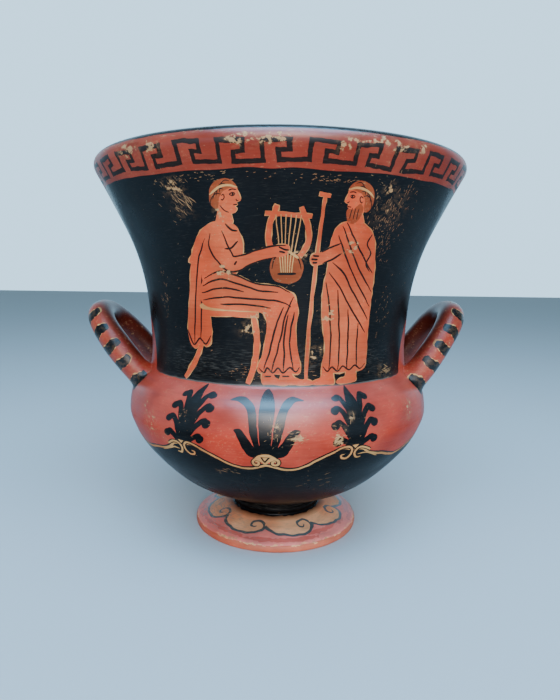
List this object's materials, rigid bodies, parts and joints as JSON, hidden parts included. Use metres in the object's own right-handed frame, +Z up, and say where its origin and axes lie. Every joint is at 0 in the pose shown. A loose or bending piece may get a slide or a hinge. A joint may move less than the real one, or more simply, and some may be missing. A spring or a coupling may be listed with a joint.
{
  "type": "calyx krater vase",
  "caption": "Wide Greek mixing bowl of painted terracotta that flares to its rim, with two upswung loop handles and a disc foot.",
  "frame": {"origin": "on the standing surface, under the vessel's own axis", "axes": "+Z up; the two handles lie along X; the painted scene faces -Y"},
  "size_m": [0.3754, 0.35, 0.36],
  "materials": {
    "terracotta": null
  },
  "bodies": {
    "root": {"krater": "terracotta"}
  },
  "joints": []
}
